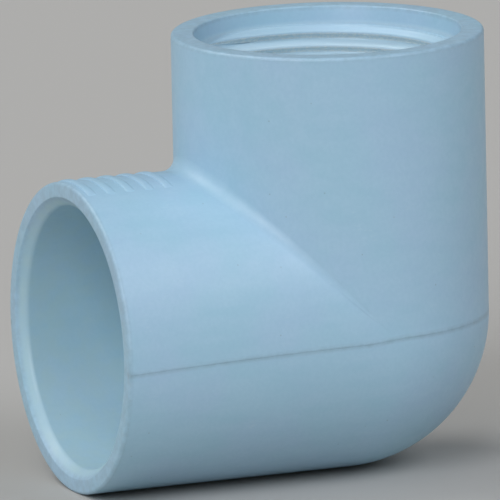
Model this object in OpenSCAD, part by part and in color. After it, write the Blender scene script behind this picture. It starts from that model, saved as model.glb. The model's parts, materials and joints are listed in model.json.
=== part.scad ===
// 90 degree pipe elbow, nominal size 1-1/4 in. One end is a slip socket that plain pipe is cemented
// into, the other a female taper pipe thread. It is one moulding, drawn as the named regions that a
// fitting drawing shows; the regions meet face to face and together are the whole moulding.
//
// Frame: the origin is the centre of the pipe stop, where the end of the pipe seats. The slip socket
// opens towards -X and the threaded port opens towards +Z. Millimetres.

/* [Body] */
// Outside diameter of both hubs, the bend and the round heel
hub_d = 50; // [48:0.5:54]
// Waterway through the bend, the inside diameter of the pipe
waterway_d = 35; // [30:0.5:36]
// Radius of the fillet in the inside corner between the hubs
crotch_r = 2.5; // [1.5:0.1:4]

/* [Slip socket] */
// From the threaded port's axis to the socket's face
socket_run = 45.7; // [45:0.1:54]
// Bore of the socket, a cement fit on 42.16 pipe
socket_d = 42.23; // [42:0.01:42.6]
// Depth of the socket, from its face to the pipe stop
socket_depth = 24.3; // [23.8:0.1:28]
// Leg of the 45 degree lead-in at the socket's mouth
lead_in = 1.5; // [0.5:0.1:2]

/* [Threaded port] */
// From the slip socket's axis to the threaded port's face
thread_run = 45.8; // [45.8:0.1:54]
// Threads in one inch
threads_per_inch = 11.5; // [11.5:0.5:14]
// Pitch diameter where the thread starts, below the entry cone
pitch_d = 40.22; // [39.5:0.01:40.5]
// Turns of the helical ridge
thread_turns = 7; // [3:1:7]
// Direction in which the ridge ends at the port's mouth, in degrees round from +X
thread_start = 135; // [0:5:355]
// Diameter at the port's face of the plain cone that leads in to the thread
entry_d = 42.8; // [42.4:0.1:44]
// Depth of that cone
entry_depth = 2.6; // [1.5:0.1:2.8]

/* [Surface] */
// Width of the bead left along the mould's parting line
bead_w = 0.8; // [0.6:0.05:1]
// Height of the parting line's bead
bead_h = 0.1; // [0.05:0.05:0.3]
// How much lower the parting line is along the socket's sides than round the heel
seam_step = 0.5; // [0:0.05:0.5]
// How much further it has dropped where it reaches the socket's face
seam_drop = 0.9; // [0:0.05:1]
// Number of plain raised bars on top of the socket hub
bar_count = 5; // [1:1:5]
// Height of the raised bars
bar_h = 0.4; // [0.2:0.05:0.6]

/* [Hidden] */
$fn = 96;

PVC = [0.62, 0.77, 0.87];
INCH = 25.4;
SPARE = 1;                         // how far a cutting shape runs past what it cuts

hub_r = hub_d / 2;
socket_r = socket_d / 2;
waterway_r = waterway_d / 2;
entry_r = entry_d / 2;
bend_run = socket_run - socket_depth;   // from either port's axis to where the other's bore begins

// Taper pipe thread: a 60 degree form, cut 1 in 16 on the diameter
pitch = INCH / threads_per_inch;
thread_h = 0.76 * pitch;
flank_w = thread_h * tan(30);
crest_w = (pitch - 2 * flank_w) / 2;
ridge_w = crest_w + 2 * flank_w;
taper = 1 / 32;                    // fall in radius for each millimetre of depth
thread_top = thread_run - entry_depth;
thread_bottom = thread_top - thread_turns * pitch - ridge_w;
root_r = (pitch_d + thread_h) / 2; // at the top of the thread
pilot_r = root_at(thread_bottom) - thread_h;
port_edge = 0.4;                   // small bevel where the entry cone meets the port's face
ridge_step = 5;                    // degrees between the ridge's cross-sections
ridge_fade = 40;                   // degrees over which the ridge grows in and dies out
ridge_least = 0.06;                // share of the ridge's full section that is left at its ends

// The fillet follows the curve on which the two hubs meet, from one side of the elbow to the other
crotch_end = 84;                   // where it has faded out, in degrees from the inside corner
crotch_step = 3;
crotch_arc = 6;                    // flats across the fillet

bar_w = 1.5;
bar_gap = 1.8;
bar_arc = 30;                      // degrees of the hub that each bar spans, half on either side of its top
bar_start = 1.2;                   // from the socket's face to the first bar

function root_at(z) = root_r - (thread_top - z) * taper;

// Moves from the crossing of the two port axes to the part's own origin
module from_crossing() {
    translate([bend_run, 0, 0]) children();
}

module along_x(r, from, to) {
    translate([from, 0, 0]) rotate([0, 90, 0]) cylinder(r = r, h = to - from);
}

module along_z(r, from, to) {
    translate([0, 0, from]) cylinder(r = r, h = to - from);
}

// Keeps what lies inside an outline drawn in the plane of the two axes, as [x, z] points
module keep(outline) {
    intersection() {
        children();
        rotate([90, 0, 0]) linear_extrude(height = 3 * hub_d, center = true) polygon(outline);
    }
}

// Slip socket: a straight bore with a lead-in, cut on the mitre where it would run into the other hub
module socket_hub() {
    far = socket_run + SPARE;
    color(PVC) from_crossing()
    keep([[-far, -hub_d], [-bend_run, -hub_d], [-bend_run, bend_run], [-far, far]])
    difference() {
        along_x(hub_r, -socket_run, -bend_run);
        along_x(socket_r, -far, -bend_run + SPARE);
        translate([-far, 0, 0]) rotate([0, 90, 0])
            cylinder(r1 = socket_r + lead_in + SPARE, r2 = socket_r, h = lead_in + SPARE);
    }
}

// The bend's wall: each half is a plain tube, and they meet on the mitre between the ports
module elbow_body() {
    color(PVC) from_crossing() union() {
        keep([[-bend_run, -hub_d], [0, -hub_d], [0, 0], [-bend_run, bend_run]])
        difference() {
            along_x(hub_r, -bend_run, 0);
            along_x(waterway_r, -bend_run - SPARE, SPARE);
        }
        keep([[0, 0], [hub_d, 0], [hub_d, bend_run], [-bend_run, bend_run]])
        difference() {
            along_z(hub_r, 0, bend_run);
            along_z(waterway_r, -SPARE, bend_run + SPARE);
        }
    }
}

// Outside corner: a quarter of a ball, smooth with both tubes
module heel() {
    color(PVC) from_crossing()
    keep([[0, 0], [0, -hub_d], [hub_d, -hub_d], [hub_d, 0]])
    difference() {
        sphere(r = hub_r);
        sphere(r = waterway_r);
    }
}

// Threaded port: pilot bore, tapered wall behind the thread, entry cone
module threaded_hub() {
    high = thread_run + SPARE;
    color(PVC) from_crossing()
    keep([[-bend_run, bend_run], [hub_d, bend_run], [hub_d, high], [-high, high]])
    difference() {
        along_z(hub_r, bend_run, thread_run);
        rotate_extrude() polygon([
            [0, bend_run - SPARE],
            [pilot_r, bend_run - SPARE],
            [pilot_r, thread_bottom],
            [root_at(thread_bottom), thread_bottom],
            [root_r, thread_top],
            [entry_r, thread_run - port_edge],
            [entry_r + port_edge + SPARE, thread_run + SPARE],
            [0, thread_run + SPARE]
        ]);
    }
}

// One section of the ridge, a degrees up a right-hand helix, that has grown to a share of its size
function ridge_section(a, share) =
    let (mid = thread_bottom + ridge_w / 2 + pitch * a / 360,
         base = share * ridge_w / 2,
         crest = share * crest_w / 2,
         tip_r = root_at(mid) - share * thread_h)
    [for (p = [[root_at(mid - base), mid - base], [tip_r, mid - crest],
               [tip_r, mid + crest], [root_at(mid + base), mid + base]])
        [p[0] * cos(a), p[0] * sin(a), p[1]]];

// Joins closed sections of equal length into one solid, with a flat cap at each end
module skin(sections) {
    rows = len(sections);
    n = len(sections[0]);
    points = [for (s = sections) each s];
    sides = [for (i = [0 : rows - 2], j = [0 : n - 1])
        [i * n + j, i * n + (j + 1) % n, (i + 1) * n + (j + 1) % n, (i + 1) * n + j]];
    first = [for (j = [n - 1 : -1 : 0]) j];
    last = [for (j = [0 : n - 1]) (rows - 1) * n + j];
    polyhedron(points, concat(sides, [first, last]));
}

// Helical ridge of the female thread
module pipe_thread() {
    sweep = 360 * thread_turns;
    color(PVC) from_crossing() rotate([0, 0, thread_start])
    skin([for (a = [0 : ridge_step : sweep])
        ridge_section(a, max(ridge_least, min(1, a / ridge_fade, (sweep - a) / ridge_fade)))]);
}

// One section of the inside corner's fillet, a degrees round the curve where the hubs meet. It is
// bounded by a ruling of each hub and by the arc of a ball that rolls along both of them.
function fillet_section(a) =
    let (r = hub_r / cos(crotch_step / 2),
         reach = crotch_r * cos(a),
         ball = [-(r + crotch_r) * cos(a), (r + crotch_r) * sin(a), (r + crotch_r) * cos(a)],
         corner = [-r * cos(a), r * sin(a), r * cos(a)],
         foot = corner - [reach, 0, 0] - ball,
         head = corner + [0, 0, reach] - ball,
         turn = acos(foot * head / crotch_r ^ 2))
    concat([corner], [for (k = [0 : crotch_arc])
        let (t = k / crotch_arc)
        ball + (sin((1 - t) * turn) * foot + sin(t * turn) * head) / sin(turn)]);

module crotch_fillet() {
    color(PVC) from_crossing()
    skin([for (a = [-crotch_end : crotch_step : crotch_end]) fillet_section(a)]);
}

// Bead of the mould's parting line: level round the heel, and falling along both sides of the socket
module parting_line() {
    far = socket_run + SPARE;
    color(PVC) from_crossing() union() {
        intersection() {
            difference() {
                along_x(hub_r + bead_h, -socket_run, 0);
                along_x(hub_r, -far, SPARE);
            }
            translate([0, 0, -seam_step]) rotate([0, -atan(seam_drop / socket_run), 0])
                translate([-far, -hub_d, -bead_w / 2]) cube([far + SPARE, 2 * hub_d, bead_w]);
        }
        rotate([0, 0, -90]) rotate_extrude(angle = 180)
            translate([hub_r, -bead_w / 2]) square([bead_h, bead_w]);
    }
}

// Plain raised bars in a row along the top of the socket hub
module raised_bars() {
    color(PVC) from_crossing()
    for (k = [0 : bar_count - 1])
        translate([-socket_run + bar_start + k * (bar_w + bar_gap), 0, 0])
        rotate([0, 90, 0]) rotate([0, 0, 180 - bar_arc / 2])
            rotate_extrude(angle = bar_arc) translate([hub_r, 0]) square([bar_h, bar_w]);
}

socket_hub();
elbow_body();
heel();
threaded_hub();
pipe_thread();
crotch_fillet();
parting_line();
raised_bars();
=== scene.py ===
"""Looks of a 90 degree PVC pipe elbow: a slip socket towards -X and a female pipe thread towards +Z.

Shapes are worked out in millimetres about the crossing of the two port axes, and Shell.piece() puts
them into the row's frame in metres. Both tubes share one local frame: a runs outwards along the
tube's own axis, y across the elbow, and w towards the inside corner, where the other tube stands.
"""

import json
import math

import bpy
from mathutils import Matrix, Vector, noise


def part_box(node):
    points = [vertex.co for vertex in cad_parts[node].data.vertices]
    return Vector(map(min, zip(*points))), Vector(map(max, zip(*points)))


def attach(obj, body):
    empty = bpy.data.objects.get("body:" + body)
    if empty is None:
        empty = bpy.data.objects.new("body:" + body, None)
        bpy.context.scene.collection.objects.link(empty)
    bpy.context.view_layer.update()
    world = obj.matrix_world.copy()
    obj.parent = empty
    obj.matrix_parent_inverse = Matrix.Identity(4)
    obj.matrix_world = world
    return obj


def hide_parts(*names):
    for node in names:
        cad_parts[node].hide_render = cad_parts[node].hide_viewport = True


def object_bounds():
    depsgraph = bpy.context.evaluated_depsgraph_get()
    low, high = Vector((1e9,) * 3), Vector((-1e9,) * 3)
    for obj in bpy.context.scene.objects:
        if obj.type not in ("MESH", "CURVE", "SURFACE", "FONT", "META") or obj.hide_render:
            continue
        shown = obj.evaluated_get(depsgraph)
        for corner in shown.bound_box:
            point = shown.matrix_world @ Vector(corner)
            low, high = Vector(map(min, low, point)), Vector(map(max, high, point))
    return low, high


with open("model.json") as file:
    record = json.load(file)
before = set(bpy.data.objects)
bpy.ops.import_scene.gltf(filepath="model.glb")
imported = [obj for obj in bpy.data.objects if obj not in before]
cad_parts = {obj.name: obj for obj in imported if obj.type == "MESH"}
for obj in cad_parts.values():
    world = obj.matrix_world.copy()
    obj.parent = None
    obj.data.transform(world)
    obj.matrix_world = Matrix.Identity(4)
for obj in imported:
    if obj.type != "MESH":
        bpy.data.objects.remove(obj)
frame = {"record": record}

cad_low, cad_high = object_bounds()

# ---------------------------------------------------------------- sizes, read from the frame
MM = 0.001
mounts = {mount["name"]: mount for mount in frame["record"]["mounts"]}
socket_low, socket_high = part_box("socket_hub")
port_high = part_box("threaded_hub")[1]

BEND_RUN = mounts["threaded_port"]["pos_m"][0] / MM     # from either port's axis to the other's bore
CROSSING = Vector((BEND_RUN * MM, 0, 0))
HUB_R = socket_high.y / MM
SOCKET_FACE = BEND_RUN - socket_low.x / MM              # distance of each face from the crossing
PORT_FACE = port_high.z / MM
SOCKET_R = mounts["slip_socket"]["dims"]["r_mm"]
PILOT_R = mounts["threaded_port"]["dims"]["r_mm"]       # of the plain bore below the thread
PILOT_TOP = BEND_RUN + mounts["threaded_port"]["dims"]["length_mm"]

# ---------------------------------------------------------------- sizes that part.scad also names
WATERWAY_R = 17.5
LEAD_IN = 1.5             # leg of the 45 degree lead-in at the socket's mouth
CROTCH_R = 2.5            # of the fillet in the inside corner
PITCH = 25.4 / 11.5
THREAD_H = 0.76 * PITCH   # from root to crest
THREAD_TURNS = 7
THREAD_START = 135        # direction in which the ridge ends at the port's mouth, in degrees from +X
TAPER = 1 / 32            # fall in radius for each millimetre of depth
PITCH_D = 40.22           # pitch diameter where the thread starts
ENTRY_R = 21.4            # at the port's face, of the cone that leads in to the thread
ENTRY_DEPTH = 2.6
THREAD_TOP = PORT_FACE - ENTRY_DEPTH
ROOT_R = (PITCH_D + THREAD_H) / 2
BAR_COUNT = 5
BAR_W = 1.5
BAR_GAP = 1.8
BAR_H = 0.4
BAR_ARC = 30              # degrees of the hub that each bar spans
BAR_START = 1.2           # from the socket's face to the first bar
SEAM_STEP = 0.5           # how much lower the parting line is on the socket than round the heel

# ---------------------------------------------------------------- course of the parting line
SEAM_STEP_FROM = -3.0     # where it begins to step down, and ends, along the socket from the crossing
SEAM_STEP_TO = 5.0
SEAM_DROP = 1.0           # its further fall at the socket's face, on a curve; part.scad's is a straight 0.9

# ---------------------------------------------------------------- finish of the moulding
RIM_ROUND = 0.55          # outer edge of both rims
BORE_ROUND = 0.35         # inner edge of both rims
LEAD_ROUND = 1.2          # where the lead-in runs out into the bore
ENTRY_ROUND = 1.0         # where the entry cone runs out into the thread
PILOT_ROUND = 0.2         # edge of the step between the thread and the pilot bore
BAR_WORN = 0.75           # share of the bars' height that is left
EMBED = 0.25              # how far a raised piece reaches into what carries it

TURN_STEP = 1.5           # degrees between a tube's outlines
TURNS = [k * TURN_STEP for k in range(int(360 / TURN_STEP))]
SHARP = 38                # degrees between two faces from which their edge is sharp
DIGITS = 4                # decimals of a millimetre to which shared corners agree
HAIR = 1e-6               # slack in degrees when two angles are compared


def blend_in(value, start, end):
    """0 before start and 1 after end, with a smooth rise between them."""
    share = min(1.0, max(0.0, (value - start) / (end - start)))
    return share * share * (3 - 2 * share)


def spread(start, end, count):
    """count steps from start to end, both ends included."""
    return [start + (end - start) * k / count for k in range(count + 1)]


def swung(first, last, share):
    """A vector turned part of the way from first to last, which are equally long."""
    return first.slerp(last, share) * first.length


def towards(azimuth, elevation):
    """The direction of a place seen from the part. Azimuth 0 is -Y, and 90 degrees is +X."""
    az, el = math.radians(azimuth), math.radians(elevation)
    return Vector((math.sin(az) * math.cos(el), -math.cos(az) * math.cos(el), math.sin(el)))


def rounded(corners, steps=6):
    """The points of an outline. Its corners are (a, r, radius), and stay sharp where that is 0."""
    points = []
    for k, (a, r, radius) in enumerate(corners):
        here = Vector((a, r))
        if radius == 0:
            points.append(here)
            continue
        back = (Vector(corners[k - 1][:2]) - here).normalized()
        ahead = (Vector(corners[k + 1][:2]) - here).normalized()
        half = back.angle(ahead) / 2
        centre = here + (back + ahead).normalized() * radius / math.sin(half)
        first = here + back * radius / math.tan(half) - centre
        last = here + ahead * radius / math.tan(half) - centre
        points += [centre + swung(first, last, s / steps) for s in range(steps + 1)]
    return points


def socket_side(a, y, w):
    """A point of the socket's tube, about the crossing."""
    return Vector((-a, y, w))


def port_side(a, y, w):
    """A point of the threaded port's tube, about the crossing."""
    return Vector((-w, y, a))


class Shell:
    """A closed mesh made face by face. Equal corners are shared; faces that shrink to a line drop out."""

    def __init__(self):
        self.corners = {}
        self.faces = []
        self.normals = []

    def face(self, points, normals=None):
        ids = []
        for p in points:
            key = tuple(round(c, DIGITS) + 0.0 for c in p)
            ids.append(self.corners.setdefault(key, len(self.corners)))
        kept = [k for k in range(len(ids)) if ids[k] != ids[k - 1]]
        if len({ids[k] for k in kept}) < 3:
            return
        self.faces.append([ids[k] for k in kept])
        self.normals.append([normals[k] if normals else Vector((0, 0, 0)) for k in kept])

    def grid(self, rows, normals=None, smooth=(), around=True, along=True, skip=None, flip=False):
        """Quads between rows of points. Columns in smooth take the given normals.

        around also joins the last row to the first one, and along the last column to the first one.
        """
        count = len(rows[0])
        for i in range(len(rows) if around else len(rows) - 1):
            n = (i + 1) % len(rows)
            for j in range(count if along else count - 1):
                m = (j + 1) % count
                if skip and skip(i, j):
                    continue
                quad = [(i, j), (i, m), (n, m), (n, j)]
                if flip:
                    quad.reverse()
                given = [normals[r][c] for r, c in quad] if j in smooth else None
                self.face([rows[r][c] for r, c in quad], given)

    def caps(self, rows):
        """Closes both ends of a swept outline."""
        self.face(list(reversed(rows[0])))
        self.face(rows[-1])

    def piece(self, name, node, material):
        mesh = bpy.data.meshes.new(name)
        mesh.from_pydata([Vector(p) * MM + CROSSING for p in self.corners], [], self.faces)
        mesh.shade_smooth()
        mesh.set_sharp_from_angle(angle=math.radians(SHARP))
        mesh.normals_split_custom_set([n for face in self.normals for n in face])
        mesh.materials.append(material)
        piece = bpy.data.objects.new(name, mesh)
        bpy.context.scene.collection.objects.link(piece)
        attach(piece, "root")
        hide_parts(node)


# ---------------------------------------------------------------- camera
CAM_AZIMUTH = -22.87
CAM_ELEVATION = 11.22
CAM_ROLL = -1.20
CAM_DISTANCE = 2.67
CAM_ASIDE = -0.01325      # of the aim from the crossing, across the view
CAM_ABOVE = 0.00975       # and up it
CAM_LENS = 1200.7
SENSOR = 36.0


def make_camera():
    roll = math.radians(CAM_ROLL)
    back = towards(CAM_AZIMUTH, CAM_ELEVATION)
    level = Vector((0, 0, 1)).cross(back).normalized()
    right = level * math.cos(roll) + back.cross(level) * math.sin(roll)
    up = back.cross(right)
    data = bpy.data.cameras.new("camera")
    data.lens = CAM_LENS
    data.sensor_width = SENSOR
    data.clip_start = 0.1
    data.clip_end = 100
    camera = bpy.data.objects.new("camera", data)
    turn = Matrix((right, up, back)).transposed().to_4x4()
    place = CROSSING + back * CAM_DISTANCE + right * CAM_ASIDE + up * CAM_ABOVE
    camera.matrix_world = Matrix.Translation(place) @ turn
    bpy.context.scene.collection.objects.link(camera)
    bpy.context.scene.camera = camera


# ---------------------------------------------------------------- material
class Nodes:
    """Short ways to add and link shader nodes."""

    def __init__(self, tree):
        self.tree = tree

    def add(self, kind, settings=(), **inputs):
        node = self.tree.nodes.new(kind)
        for key, value in dict(settings).items():
            setattr(node, key, value)
        for key, value in inputs.items():
            self.put(node.inputs[key.replace("_", " ")], value)
        return node

    def put(self, socket, value):
        if isinstance(value, bpy.types.NodeSocket):
            self.tree.links.new(value, socket)
        else:
            socket.default_value = value

    def maths(self, operation, *values):
        node = self.add("ShaderNodeMath", {"operation": operation})
        for socket, value in zip(node.inputs, values):
            self.put(socket, value)
        return node.outputs[0]

    def plus(self, first, second):
        return self.maths("ADD", first, second)

    def minus(self, first, second):
        return self.maths("SUBTRACT", first, second)

    def times(self, first, second):
        return self.maths("MULTIPLY", first, second)

    def radius(self, first, second):
        """The distance from an axis, from the two coordinates across it."""
        return self.maths("SQRT", self.plus(self.times(first, first), self.times(second, second)))

    def mixed(self, factor, first, second):
        node = self.add("ShaderNodeMix", {"data_type": "RGBA"})
        self.put(node.inputs[0], factor)
        self.put(node.inputs[6], first)
        self.put(node.inputs[7], second)
        return node.outputs[2]

    def noise(self, where, scale, detail=2.0, roughness=0.5):
        return self.add("ShaderNodeTexNoise", Vector=where, Scale=scale, Detail=detail,
                        Roughness=roughness).outputs["Fac"]

    def between(self, value, low, high, out_low=0.0, out_high=1.0):
        """Changes smoothly from out_low, at low, to out_high, at high. low may be the larger one."""
        return self.add("ShaderNodeMapRange", {"interpolation_type": "SMOOTHSTEP"}, Value=value,
                        From_Min=low, From_Max=high, To_Min=out_low, To_Max=out_high).outputs[0]


def colour(r, g, b):
    return (r, g, b, 1.0)


PVC_COOL = colour(0.362, 0.592, 0.728)
PVC_WARM = colour(0.392, 0.586, 0.750)
PVC_PALE = colour(0.414, 0.622, 0.766)
PVC_DEEP = colour(0.322, 0.540, 0.690)
PVC_RUBBED = colour(0.520, 0.690, 0.790)
# greener, greyer tint inside the socket: painted shade, the hue of its shaded inside
SOCKET_SHADE_TINT = colour(0.435, 0.612, 0.615)
# dark specks of grime, and also painted shade on both rims and along the parting line
DIRT_AND_SHADE = colour(0.140, 0.190, 0.205)
# paler colour of the thread, more so deeper down: painted light against the port's shade
THREAD_PAINTED_LIGHT = colour(0.600, 0.780, 0.870)
# pale sealing residue, laid only on faces that look down, where it is also painted light lifting their
# shade
SEALANT_AND_LIGHT = colour(0.860, 0.900, 0.870)
REFRACTION = 1.53

# how much of what is below it each layer covers; a pair is the least and the most
STREAKS = 0.50
FINE_SPOTS = 0.25
SCUFFS = 0.30
RIM_SCUFFS = 0.15
SPECKS = 0.35
# painted shade that darkens both rims
RIM_SHADE = (0.08, 0.22)
# painted shade along the parting line
SEAM_SHADE = (0.16, 0.30)
# painted shade tint inside the socket
SOCKET_SHADE_COVER = (0.30, 0.55)
# painted light on the thread
THREAD_LIGHT_COVER = (0.30, 0.85)         # at the top of the thread, and further down
# pale sealing residue that is also painted light on the thread's down-facing faces
SEALANT_AND_LIGHT_COVER = (0.55, 1.0)

# where a layer begins and where it is complete, in millimetres
RIM_DEPTH = (0.9, 0.2)            # below a rim's face
PORT_DEPTH = (2.5, 3.2)           # in from the outside of the threaded hub
SEAM_DEPTH = (1.2, 0.8)           # in from the outside of the moulding
SEAM_WIDTH = (0.75, 0.05)         # from the middle of the painted shade along the parting line
SEAM_SHADE_LOW = 0.12              # how far that middle is below the line
SOCKET_SHADE_R = (1.4, 0.6)               # beyond the radius of the socket's bore
SOCKET_SHADE_X = (8.0, 0.0)               # past the pipe stop
THREAD_LIGHT_DEPTH = (1.2, 3.2)            # below the top of the thread
OVERHANG = (0.2, -0.5)            # how far a surface faces up where the pale sealing residue and its painted light begin and are complete

ROUGHNESS = (0.38, 0.48)
SCUFF_ROUGHNESS = 0.5             # added in full where it is wholly scuffed
WAVE_H = 0.045                    # heights of the surface's waves, its orange peel and its scuffs
PEEL_H = 0.0030
SCUFF_H = 0.010
DRAWN_OUT = 0.25                  # scale of flow marks and scratches along X, against that across it


def rim_mask(n, axes):
    """Both rims."""
    begins, complete = RIM_DEPTH
    socket_x = BEND_RUN - SOCKET_FACE
    at_socket = n.between(axes["X"], socket_x + begins, socket_x + complete)
    at_port = n.between(axes["Z"], PORT_FACE - begins, PORT_FACE - complete)
    return n.maths("MAXIMUM", at_socket, at_port)


def seam_shade_mask(n, axes):
    """Painted shade along the parting line, a little below it, on the outside of the moulding only."""
    run = n.minus(BEND_RUN, axes["X"])
    share = n.maths("DIVIDE", n.maths("MAXIMUM", run, 0.0), SOCKET_FACE)
    stepped = n.between(run, SEAM_STEP_FROM, SEAM_STEP_TO, 0.0, SEAM_STEP)
    fall = n.plus(stepped, n.times(n.times(share, share), SEAM_DROP))
    off_seam = n.maths("ABSOLUTE", n.plus(n.plus(axes["Z"], fall), SEAM_SHADE_LOW))
    beside = n.maths("MAXIMUM", n.minus(axes["X"], BEND_RUN), 0.0)
    spoke = n.radius(beside, axes["Y"])
    outside = n.between(spoke, HUB_R - SEAM_DEPTH[0], HUB_R - SEAM_DEPTH[1])
    return n.times(outside, n.between(off_seam, *SEAM_WIDTH))


def thread_mask(n, axes):
    """The thread and the wall behind it."""
    port_r = n.radius(n.minus(axes["X"], BEND_RUN), axes["Y"])
    inside = n.between(port_r, HUB_R - PORT_DEPTH[0], HUB_R - PORT_DEPTH[1])
    in_port = n.times(n.between(axes["Z"], PILOT_TOP - 1, PILOT_TOP), inside)
    return n.times(in_port, n.between(axes["Z"], THREAD_TOP + 0.5, THREAD_TOP))


def scuff_mask(n, mm, drawn, at_rim):
    """Fine scratchy patches where the moulding was scuffed, and faintly along both rims."""
    patch = n.between(n.noise(mm, 0.16), 0.55, 0.75)
    scratch = n.between(n.noise(drawn, 2.6, 4.0, 0.65), 0.52, 0.66)
    nick = n.between(n.noise(mm, 1.1, 4.0, 0.6), 0.45, 0.7)
    return n.maths("MAXIMUM", n.times(n.times(patch, scratch), SCUFFS),
                   n.times(n.times(at_rim, nick), RIM_SCUFFS))


def moulded_tint(n, mm, drawn):
    """The plastic's own colour, faintly clouded, streaked and spotted."""
    cloud = n.between(n.noise(mm, 0.07, 3.0), 0.35, 0.65)
    streak = n.between(n.noise(drawn, 0.45, 3.0), 0.3, 0.7, 0.0, STREAKS)
    fine = n.between(n.noise(mm, 1.6), 0.3, 0.7, 0.0, FINE_SPOTS)
    tint = n.mixed(cloud, PVC_COOL, PVC_WARM)
    tint = n.mixed(streak, tint, PVC_PALE)
    return n.mixed(fine, tint, PVC_DEEP)


def add_dirt_and_shade(n, tint, mm, at_rim, at_seam):
    """Sparse dark specks of grime, painted shade darkening both rims, and a soft painted shade line along
    the parting line.
    """
    cell = n.add("ShaderNodeTexVoronoi", Vector=mm, Scale=0.55).outputs
    few = n.between(n.add("ShaderNodeSeparateColor", Color=cell["Color"]).outputs[0], 0.86, 0.88)
    speck = n.times(few, n.between(cell["Distance"], 0.10, 0.03))
    tint = n.mixed(n.times(speck, SPECKS), tint, DIRT_AND_SHADE)
    # painted shade darkening both rims
    rim_shade = n.between(n.noise(mm, 0.8, 3.0), 0.3, 0.7, *RIM_SHADE)
    tint = n.mixed(n.times(at_rim, rim_shade), tint, DIRT_AND_SHADE)
    # painted shade in a soft line just below the parting line
    line = n.between(n.noise(mm, 0.6, 3.0), 0.3, 0.7, *SEAM_SHADE)
    return n.mixed(n.times(at_seam, line), tint, DIRT_AND_SHADE)


def add_socket_shade_tint(n, tint, mm, axes):
    """A greener, greyer tint over the whole inside of the socket: painted shade, the hue its shaded inside
    takes.
    """
    socket_r = n.radius(axes["Y"], axes["Z"])
    in_socket = n.times(n.between(socket_r, SOCKET_R + SOCKET_SHADE_R[0], SOCKET_R + SOCKET_SHADE_R[1]),
                        n.between(axes["X"], *SOCKET_SHADE_X))
    # painted shade tint inside the socket
    shade_patches = n.between(n.noise(mm, 0.35, 3.0), 0.3, 0.7, *SOCKET_SHADE_COVER)
    return n.mixed(n.times(shade_patches, in_socket), tint, SOCKET_SHADE_TINT)


def paint_thread_light_and_residue(n, tint, mm, axes, facing_up):
    """The thread is painted paler than the wall, more so deeper down: painted light against the port's
    shade. A pale sealing residue lies on the faces under its ridge that look down, where it is also painted
    light that lifts their shade.
    """
    in_thread = thread_mask(n, axes)
    # painted light on the thread, stronger deeper down
    thread_light = n.between(axes["Z"], THREAD_TOP - THREAD_LIGHT_DEPTH[0], THREAD_TOP - THREAD_LIGHT_DEPTH[1], *THREAD_LIGHT_COVER)
    tint = n.mixed(n.times(in_thread, thread_light), tint, THREAD_PAINTED_LIGHT)
    # pale sealing residue and painted light on faces that look down, which lie in shade
    overhung = n.times(in_thread, n.between(facing_up, *OVERHANG))
    sealant_and_light = n.between(n.noise(mm, 1.9, 3.0, 0.7), 0.40, 0.60, *SEALANT_AND_LIGHT_COVER)
    return n.mixed(n.times(sealant_and_light, overhung), tint, SEALANT_AND_LIGHT)


def make_pvc():
    """Pale blue PVC, satin from the mould: faint clouding and flow marks, scuffed edges, a little grime,
    and painted shade and light on the rims, along the parting line, inside the socket and in the thread.
    """
    material = bpy.data.materials.new("pvc_pale_blue")
    material.use_nodes = True
    tree = material.node_tree
    tree.nodes.clear()
    n = Nodes(tree)
    coordinates = n.add("ShaderNodeTexCoord").outputs
    facing_up = n.add("ShaderNodeSeparateXYZ", Vector=coordinates["Normal"]).outputs["Z"]
    mm = n.add("ShaderNodeMapping", Vector=coordinates["Object"], Scale=[1 / MM] * 3).outputs[0]
    axes = n.add("ShaderNodeSeparateXYZ", Vector=mm).outputs
    drawn = n.add("ShaderNodeMapping", Vector=mm, Scale=(DRAWN_OUT, 1, 1)).outputs[0]

    at_rim = rim_mask(n, axes)
    scuff = scuff_mask(n, mm, drawn, at_rim)
    tint = n.mixed(scuff, moulded_tint(n, mm, drawn), PVC_RUBBED)
    tint = add_dirt_and_shade(n, tint, mm, at_rim, seam_shade_mask(n, axes))
    tint = add_socket_shade_tint(n, tint, mm, axes)
    tint = paint_thread_light_and_residue(n, tint, mm, axes, facing_up)

    satin = n.between(n.noise(mm, 0.5, 4.0), 0.3, 0.7, *ROUGHNESS)
    rough = n.plus(satin, n.times(scuff, SCUFF_ROUGHNESS))
    wave = n.times(n.noise(mm, 0.11, 1.0), WAVE_H)
    peel = n.times(n.noise(mm, 1.9), PEEL_H)
    height = n.plus(n.plus(wave, peel), n.times(scuff, SCUFF_H))
    bump = n.add("ShaderNodeBump", Height=height, Strength=1.0, Distance=MM)
    surface = n.add("ShaderNodeBsdfPrincipled", Base_Color=tint, Roughness=rough, IOR=REFRACTION,
                    Normal=bump.outputs[0])
    n.add("ShaderNodeOutputMaterial", Surface=surface.outputs[0])
    return material


# ---------------------------------------------------------------- walls
def ring(place, turn, outline):
    """An outline of (a, r) points, turned about the tube's axis."""
    s, c = math.sin(math.radians(turn)), math.cos(math.radians(turn))
    return [place(a, r * s, r * c) for a, r in outline]


def mitre(turn, r, least):
    """Where a wall that runs in along the tube ends: on the mitre, but at least this far out."""
    return max(least, r * math.cos(math.radians(turn)))


def hub_rows(place, profile, bore_r, walls, caps):
    """One closed outline for each turn: the outside, the rim and the bore, and back across the seam."""
    rows = []
    for turn in TURNS:
        start = mitre(turn, HUB_R, BEND_RUN)
        outside = [(a, HUB_R) for a in spread(start, profile[0].x, walls)]
        rim = [(p.x, p.y) for p in profile[1:]]
        seam = [(mitre(turn, r, BEND_RUN), r) for r in spread(bore_r, HUB_R, caps)[1:-1]]
        rows.append(ring(place, turn, outside + rim + seam))
    return rows


def tube_normals(rows, place):
    """The directions straight out from a tube's axis, for each row of its grid."""
    return [ring(place, turn, [(0, 1)] * len(row)) for turn, row in zip(TURNS, rows)]


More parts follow.
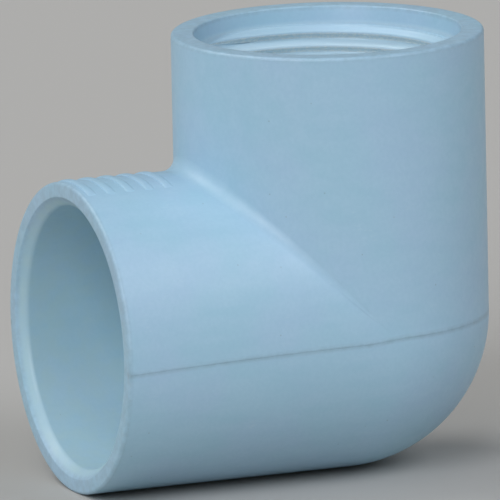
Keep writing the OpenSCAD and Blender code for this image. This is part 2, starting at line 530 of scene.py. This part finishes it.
def make_socket_hub(pvc):
    walls, caps = 18, 3
    profile = rounded([(SOCKET_FACE - RIM_ROUND, HUB_R, 0),
                       (SOCKET_FACE, HUB_R, RIM_ROUND),
                       (SOCKET_FACE, SOCKET_R + LEAD_IN, BORE_ROUND),
                       (SOCKET_FACE - LEAD_IN, SOCKET_R, LEAD_ROUND),
                       (BEND_RUN, SOCKET_R, 0)])
    rows = hub_rows(socket_side, profile, SOCKET_R, walls, caps)
    shell = Shell()
    shell.grid(rows, tube_normals(rows, socket_side), range(walls), flip=True)
    shell.piece("socket_hub_wall", "socket_hub", pvc)


def root_at(z):
    """Radius of the tapered wall behind the thread."""
    return ROOT_R - (THREAD_TOP - z) * TAPER


def make_threaded_hub(pvc):
    walls, caps = 14, 3
    profile = rounded([(PORT_FACE - RIM_ROUND, HUB_R, 0),
                       (PORT_FACE, HUB_R, RIM_ROUND),
                       (PORT_FACE, ENTRY_R, BORE_ROUND),
                       (THREAD_TOP, ROOT_R, ENTRY_ROUND),
                       (PILOT_TOP, root_at(PILOT_TOP), 0),
                       (PILOT_TOP, PILOT_R, PILOT_ROUND),
                       (BEND_RUN, PILOT_R, 0)])
    rows = hub_rows(port_side, profile, PILOT_R, walls, caps)
    shell = Shell()
    shell.grid(rows, tube_normals(rows, port_side), range(walls))
    shell.piece("threaded_hub_wall", "threaded_hub", pvc)


def make_elbow_body(pvc):
    """Two tubes that meet on the mitre. Neither has faces there, so they form one closed wall."""
    walls, caps = 16, 5
    shell = Shell()
    for place, flip in ((socket_side, True), (port_side, False)):
        rows = []
        for turn in TURNS:
            c = math.cos(math.radians(turn))
            outer = min(HUB_R, BEND_RUN / c) if c > 0 else HUB_R
            start = min(BEND_RUN, mitre(turn, HUB_R, 0))
            outside = [(a, outer) for a in spread(start, BEND_RUN, walls)]
            top = [(BEND_RUN, r) for r in spread(outer, WATERWAY_R, caps)[1:]]
            bore = [(a, WATERWAY_R) for a in spread(BEND_RUN, mitre(turn, WATERWAY_R, 0), walls)[1:]]
            seam = [(mitre(turn, r, 0), r) for r in spread(WATERWAY_R, outer, caps)[1:-1]]
            rows.append(ring(place, turn, outside + top + bore + seam))
        first_seam = len(rows[0]) - caps

        def on_mitre(i, j):
            n = (i + 1) % len(TURNS)
            both = [min(TURNS[k], 360 - TURNS[k]) for k in (i, n)]
            return j >= first_seam and max(both) <= 90 + HAIR

        outward = tube_normals(rows, place)
        normals = [[v if j <= walls else -v for j, v in enumerate(row)] for row in outward]
        bores = range(walls + caps, walls * 2 + caps)
        shell.grid(rows, normals, [*range(walls), *bores], skip=on_mitre, flip=flip)
    shell.piece("elbow_body_wall", "elbow_body", pvc)


def on_ball(turn, r, swing):
    """A point of the round heel. Its swing, in radians, is from the socket's tube to the port's."""
    s, c = math.sin(math.radians(turn)), -math.cos(math.radians(turn))
    return Vector((r * c * math.sin(swing), r * s, -r * c * math.cos(swing)))


def make_heel(pvc):
    """A quarter of a hollow ball: its outside, its inside, and a flat face at either end."""
    swings, caps = 60, 5
    turns = [turn for turn in TURNS if 90 - HAIR <= turn <= 270 + HAIR]
    angles = spread(0, math.pi / 2, swings)
    outside = [[on_ball(turn, HUB_R, swing) for turn in turns] for swing in angles]
    inside = [[on_ball(turn, WATERWAY_R, swing) for turn in reversed(turns)] for swing in angles]
    shell = Shell()
    for rows, side in ((outside, 1), (inside, -1)):
        normals = [[p.normalized() * side for p in row] for row in rows]
        shell.grid(rows, normals, range(len(turns)), around=False, along=False, flip=True)
    for end, flip in ((0, False), (-1, True)):
        pairs = zip(reversed(inside[end]), outside[end])
        strips = [[inner.lerp(outer, s / caps) for s in range(caps + 1)] for inner, outer in pairs]
        shell.grid(strips, around=False, along=False, flip=flip)
    shell.piece("heel_wall", "heel", pvc)


# ---------------------------------------------------------------- thread
FLANK_SLOPE = math.tan(math.radians(30))      # of half the thread's 60 degree form
CREST_ROUND = 0.45        # tips of the thread
ROOT_ROUND = 0.40         # between its turns
OVERLAP = 0.02            # by which neighbouring turns run into each other
THREAD_STEP = 3           # degrees between the ridge's outlines
THREAD_FADE = 40          # degrees over which it grows in and dies out
THREAD_LEAST = 0.06       # share of its size at its very ends
THREAD_CLEAR = 0.01       # how far it stays from both ends of the wall behind it


def thread_outline(crest):
    """The ridge's section, with a round tip, as (distance along the port, height off the wall)."""
    beyond = crest / 2 / FLANK_SLOPE          # from a flat to where its flanks would meet
    tip = THREAD_H + beyond
    outline = rounded([(-PITCH, tip, 0), (-PITCH / 2, -beyond, ROOT_ROUND), (0, tip, CREST_ROUND),
                       (PITCH / 2, -beyond, ROOT_ROUND), (PITCH, tip, 0)], steps=8)
    outline = [p for p in outline if abs(p.x) < PITCH / 2 - OVERLAP]
    edge = PITCH / 2 + OVERLAP
    low = ROOT_ROUND - beyond - OVERLAP
    return ([Vector((-edge, -EMBED)), Vector((-edge, low))] + outline
            + [Vector((edge, low)), Vector((edge, -EMBED))])


def make_thread(pvc):
    """The helical ridge. Neighbouring turns meet at the root, and both ends fade into the wall."""
    flank = THREAD_H * FLANK_SLOPE
    crest = PITCH / 2 - flank
    outline = thread_outline(crest)
    foot = PILOT_TOP + crest / 2 + flank
    sweep = 360 * THREAD_TURNS
    rows = []
    for a in range(0, sweep + 1, THREAD_STEP):
        from_end = min(a, sweep - a)
        at_tip = from_end / THREAD_FADE <= THREAD_LEAST
        share = THREAD_LEAST if at_tip else blend_in(from_end, 0, THREAD_FADE)
        mid = foot + PITCH * a / 360
        turn = math.radians(a + THREAD_START)
        row = []
        for p in outline:
            z = mid + p.x * share ** 0.5
            z = min(THREAD_TOP - THREAD_CLEAR, max(PILOT_TOP + THREAD_CLEAR, z))
            r = root_at(z) - (p.y * share if p.y > 0 else p.y)
            row.append(Vector((r * math.cos(turn), r * math.sin(turn), z)))
        rows.append(row)
    shell = Shell()
    shell.grid(rows, around=False)
    shell.caps(rows)
    shell.piece("thread_ridge", "pipe_thread", pvc)


# ---------------------------------------------------------------- fillet in the inside corner
def make_crotch_fillet(pvc):
    """A ball of the fillet's radius, rolled along both tubes."""
    end, step, arcs = 84, 1.5, 12
    rows, normals = [], []
    for k in range(int(2 * end / step) + 1):
        a = math.radians(-end + k * step)
        reach = CROTCH_R * math.cos(a)
        far = HUB_R + CROTCH_R
        ball = Vector((-far * math.cos(a), far * math.sin(a), far * math.cos(a)))
        corner = Vector((-HUB_R * math.cos(a), HUB_R * math.sin(a), HUB_R * math.cos(a)))
        foot = corner - Vector((reach, 0, 0)) - ball
        head = corner + Vector((0, 0, reach)) - ball
        arc = [swung(foot, head, s / arcs) for s in range(arcs + 1)]
        deep = corner * (1 - EMBED / HUB_R)
        rows.append([deep] + [ball + v for v in arc])
        normals.append([Vector((0, 0, 0))] + [-v.normalized() for v in arc])
    shell = Shell()
    shell.grid(rows, normals, range(1, arcs + 1), around=False)
    shell.caps(rows)
    shell.piece("crotch_fillet_web", "crotch_fillet", pvc)


# ---------------------------------------------------------------- parting line
LIP_H = 0.045             # height of its lip, which rises gently from above and ends steeply below
LIP_UP = 0.40             # how far the lip reaches above the parting line
LIP_DOWN = 0.20           # and below it
LIP_TOP = (0.68, 0.72)    # where its top begins and ends, as shares of the way down across it
LIP_STEP = 0.25           # between its outlines
LIP_POINTS = 16           # steps across each outline
LIP_STOP = 0.4            # how far short of the socket's face it ends, as a share of the rim's rounding
LIP_WAVES = 0.35          # how quickly its height and width wander
LIP_PLAIN = 0.85          # share of its height about which it wanders
LIP_UNEVEN = 0.4          # and by how much at most
LIP_STRAY = 0.08          # how much of its width wanders at most
LIP_WORN = 0.45           # share of its height that is gone round the heel
LIP_WORN_FROM = -9        # where that begins, past the crossing, so still on the socket
LIP_WORN_TO = 0.4         # and where it is complete, as a share of the whole way round the heel


def seam_height(a):
    """How far above the socket's axis the parting line lies; a is negative round the heel."""
    share = max(0, a) / SOCKET_FACE
    return -SEAM_STEP * blend_in(a, SEAM_STEP_FROM, SEAM_STEP_TO) - SEAM_DROP * share ** 2


def lip_outline(high, grow):
    """The lip's section, as (height above the parting line, height off the wall)."""
    points = []
    for share in spread(0, 1, LIP_POINTS):
        rise = blend_in(share, 0, LIP_TOP[0]) * (1 - blend_in(share, LIP_TOP[1], 1))
        points.append((LIP_UP - (LIP_UP + LIP_DOWN) * share * grow, high * rise))
    return [(points[0][0], -EMBED), *points, (points[-1][0], -EMBED)]


def make_parting_line(pvc):
    """The lip that the mould leaves: along one side, round the heel and back along the other side."""
    straight = SOCKET_FACE - RIM_ROUND * LIP_STOP
    bend = math.pi * HUB_R
    total = 2 * straight + bend
    rows = []
    for along in spread(0, total, int(total / LIP_STEP)):
        side = -1 if along < total / 2 else 1
        a = straight - min(along, total - along)
        turn = max(0, -a) / HUB_R
        out = Vector((math.sin(turn), side * math.cos(turn), 0))
        uneven = noise.noise(Vector((along * LIP_WAVES, side * 3.1, 0.0)))
        worn = LIP_WORN * blend_in(-a, LIP_WORN_FROM, bend * LIP_WORN_TO)
        high = LIP_H * (LIP_PLAIN + LIP_UNEVEN * uneven) * (1 - worn)
        row = []
        for up, off in lip_outline(high, 1 + LIP_STRAY * uneven):
            lift = (seam_height(a) + up) / HUB_R
            spoke = out * math.cos(lift) + Vector((0, 0, math.sin(lift)))
            row.append(Vector((-max(0, a), 0, 0)) + spoke * (HUB_R + off))
        rows.append(row)
    shell = Shell()
    shell.grid(rows, around=False)
    shell.caps(rows)
    shell.piece("parting_line_lip", "parting_line", pvc)


# ---------------------------------------------------------------- raised bars
BAR_SIDES = 0.9           # share of a bar's half width over which it rounds off
BAR_ENDS = 0.5            # and of its half length


def plateau(share, edge):
    """1 over the middle of a run from -1 to 1, falling to 0 at its ends over edge."""
    out = max(0.0, (abs(share) - 1 + edge) / edge)
    return math.sqrt(max(0.0, 1 - out * out))


def bar_rows(middle, along, across):
    """The top of one bar, and its underside within the hub's wall."""
    tops, unders = [], []
    for lengthwise in [-math.cos(math.pi * i / along) for i in range(along + 1)]:
        top, under = [], []
        for sideways in [-math.cos(math.pi * j / across) for j in range(across + 1)]:
            high = BAR_H * BAR_WORN * plateau(sideways, BAR_SIDES) * plateau(lengthwise, BAR_ENDS)
            a = middle + BAR_W / 2 * sideways
            top.append((a, HUB_R + high))
            under.append((a, HUB_R - EMBED))
        turn = BAR_ARC / 2 * lengthwise
        tops.append(ring(socket_side, turn, top))
        unders.append(ring(socket_side, turn, under))
    return tops, unders


def make_raised_bars(pvc):
    """Plain bars with soft edges, in a row along the top of the socket hub."""
    across, along = 12, 28
    edge = [(0, j) for j in range(across)] + [(i, across) for i in range(along)]
    edge += [(along, j) for j in range(across, 0, -1)] + [(i, 0) for i in range(along, 0, -1)]
    shell = Shell()
    for k in range(BAR_COUNT):
        middle = SOCKET_FACE - BAR_START - BAR_W / 2 - k * (BAR_W + BAR_GAP)
        tops, unders = bar_rows(middle, along, across)
        shell.grid(tops, around=False, along=False, flip=True)
        shell.grid(unders, around=False, along=False)
        shell.grid([[tops[i][j] for i, j in edge], [unders[i][j] for i, j in edge]], around=False)
    shell.piece("raised_bar_row", "raised_bars", pvc)


# ---------------------------------------------------------------- floor and light
FLOOR_HALF = 60.0         # metres
FLOOR_GREY = colour(0.50, 0.49, 0.465)
FLOOR_ROUGHNESS = 0.8

LIGHTS = [
    # name, azimuth, elevation, angle across, strength and, where it isn't white, colour
    ("window", -44, 31, 37, 1.43, (0.965, 0.99, 1.055)),
    ("right_fill", 42, 42, 37, 0.89, (0.96, 1.0, 1.09)),
    ("back_left", -130, 50, 37, 1.04),
    ("top", -60, 70, 37, 0.32),
]
ROOM = colour(1.0, 0.99, 0.94)
WALLS = 0.34              # how bright the surroundings are at the horizon
CEILING = 0.07            # and overhead
FADE_UP = 0.45            # sine of the elevation at which one has become the other


def make_floor():
    material = bpy.data.materials.new("floor_paper")
    material.use_nodes = True
    surface = material.node_tree.nodes["Principled BSDF"]
    surface.inputs["Base Color"].default_value = FLOOR_GREY
    surface.inputs["Roughness"].default_value = FLOOR_ROUGHNESS
    corners = [(x * FLOOR_HALF, y * FLOOR_HALF, cad_low.z)
               for x, y in ((-1, -1), (1, -1), (1, 1), (-1, 1))]
    mesh = bpy.data.meshes.new("floor")
    mesh.from_pydata(corners, [], [(0, 1, 2, 3)])
    mesh.materials.append(material)
    floor = bpy.data.objects.new("floor", mesh)
    bpy.context.scene.collection.objects.link(floor)


def soft_light(name, azimuth, elevation, spread_angle, strength, tint=(1, 1, 1)):
    """A round soft light, far off in that direction, that lights the whole floor evenly."""
    back = towards(azimuth, elevation)
    data = bpy.data.lights.new(name, "SUN")
    data.angle = math.radians(spread_angle)
    data.energy = strength
    data.color = tint
    light = bpy.data.objects.new(name, data)
    light.location = CROSSING + back
    light.rotation_mode = "QUATERNION"
    light.rotation_quaternion = back.to_track_quat("Z", "Y")
    bpy.context.scene.collection.objects.link(light)


def make_light():
    for light in LIGHTS:
        soft_light(*light)
    world = bpy.data.worlds.new("world")
    world.use_nodes = True
    n = Nodes(world.node_tree)
    up = n.add("ShaderNodeSeparateXYZ", Vector=n.add("ShaderNodeTexCoord").outputs["Generated"])
    background = world.node_tree.nodes["Background"]
    background.inputs["Color"].default_value = ROOM
    n.put(background.inputs["Strength"], n.between(up.outputs["Z"], 0.0, FADE_UP, WALLS, CEILING))
    bpy.context.scene.world = world
    bpy.context.scene.view_settings.view_transform = "Standard"


make_camera()
pvc = make_pvc()
make_socket_hub(pvc)
make_elbow_body(pvc)
make_heel(pvc)
make_threaded_hub(pvc)
make_thread(pvc)
make_crotch_fillet(pvc)
make_parting_line(pvc)
make_raised_bars(pvc)
make_floor()
make_light()
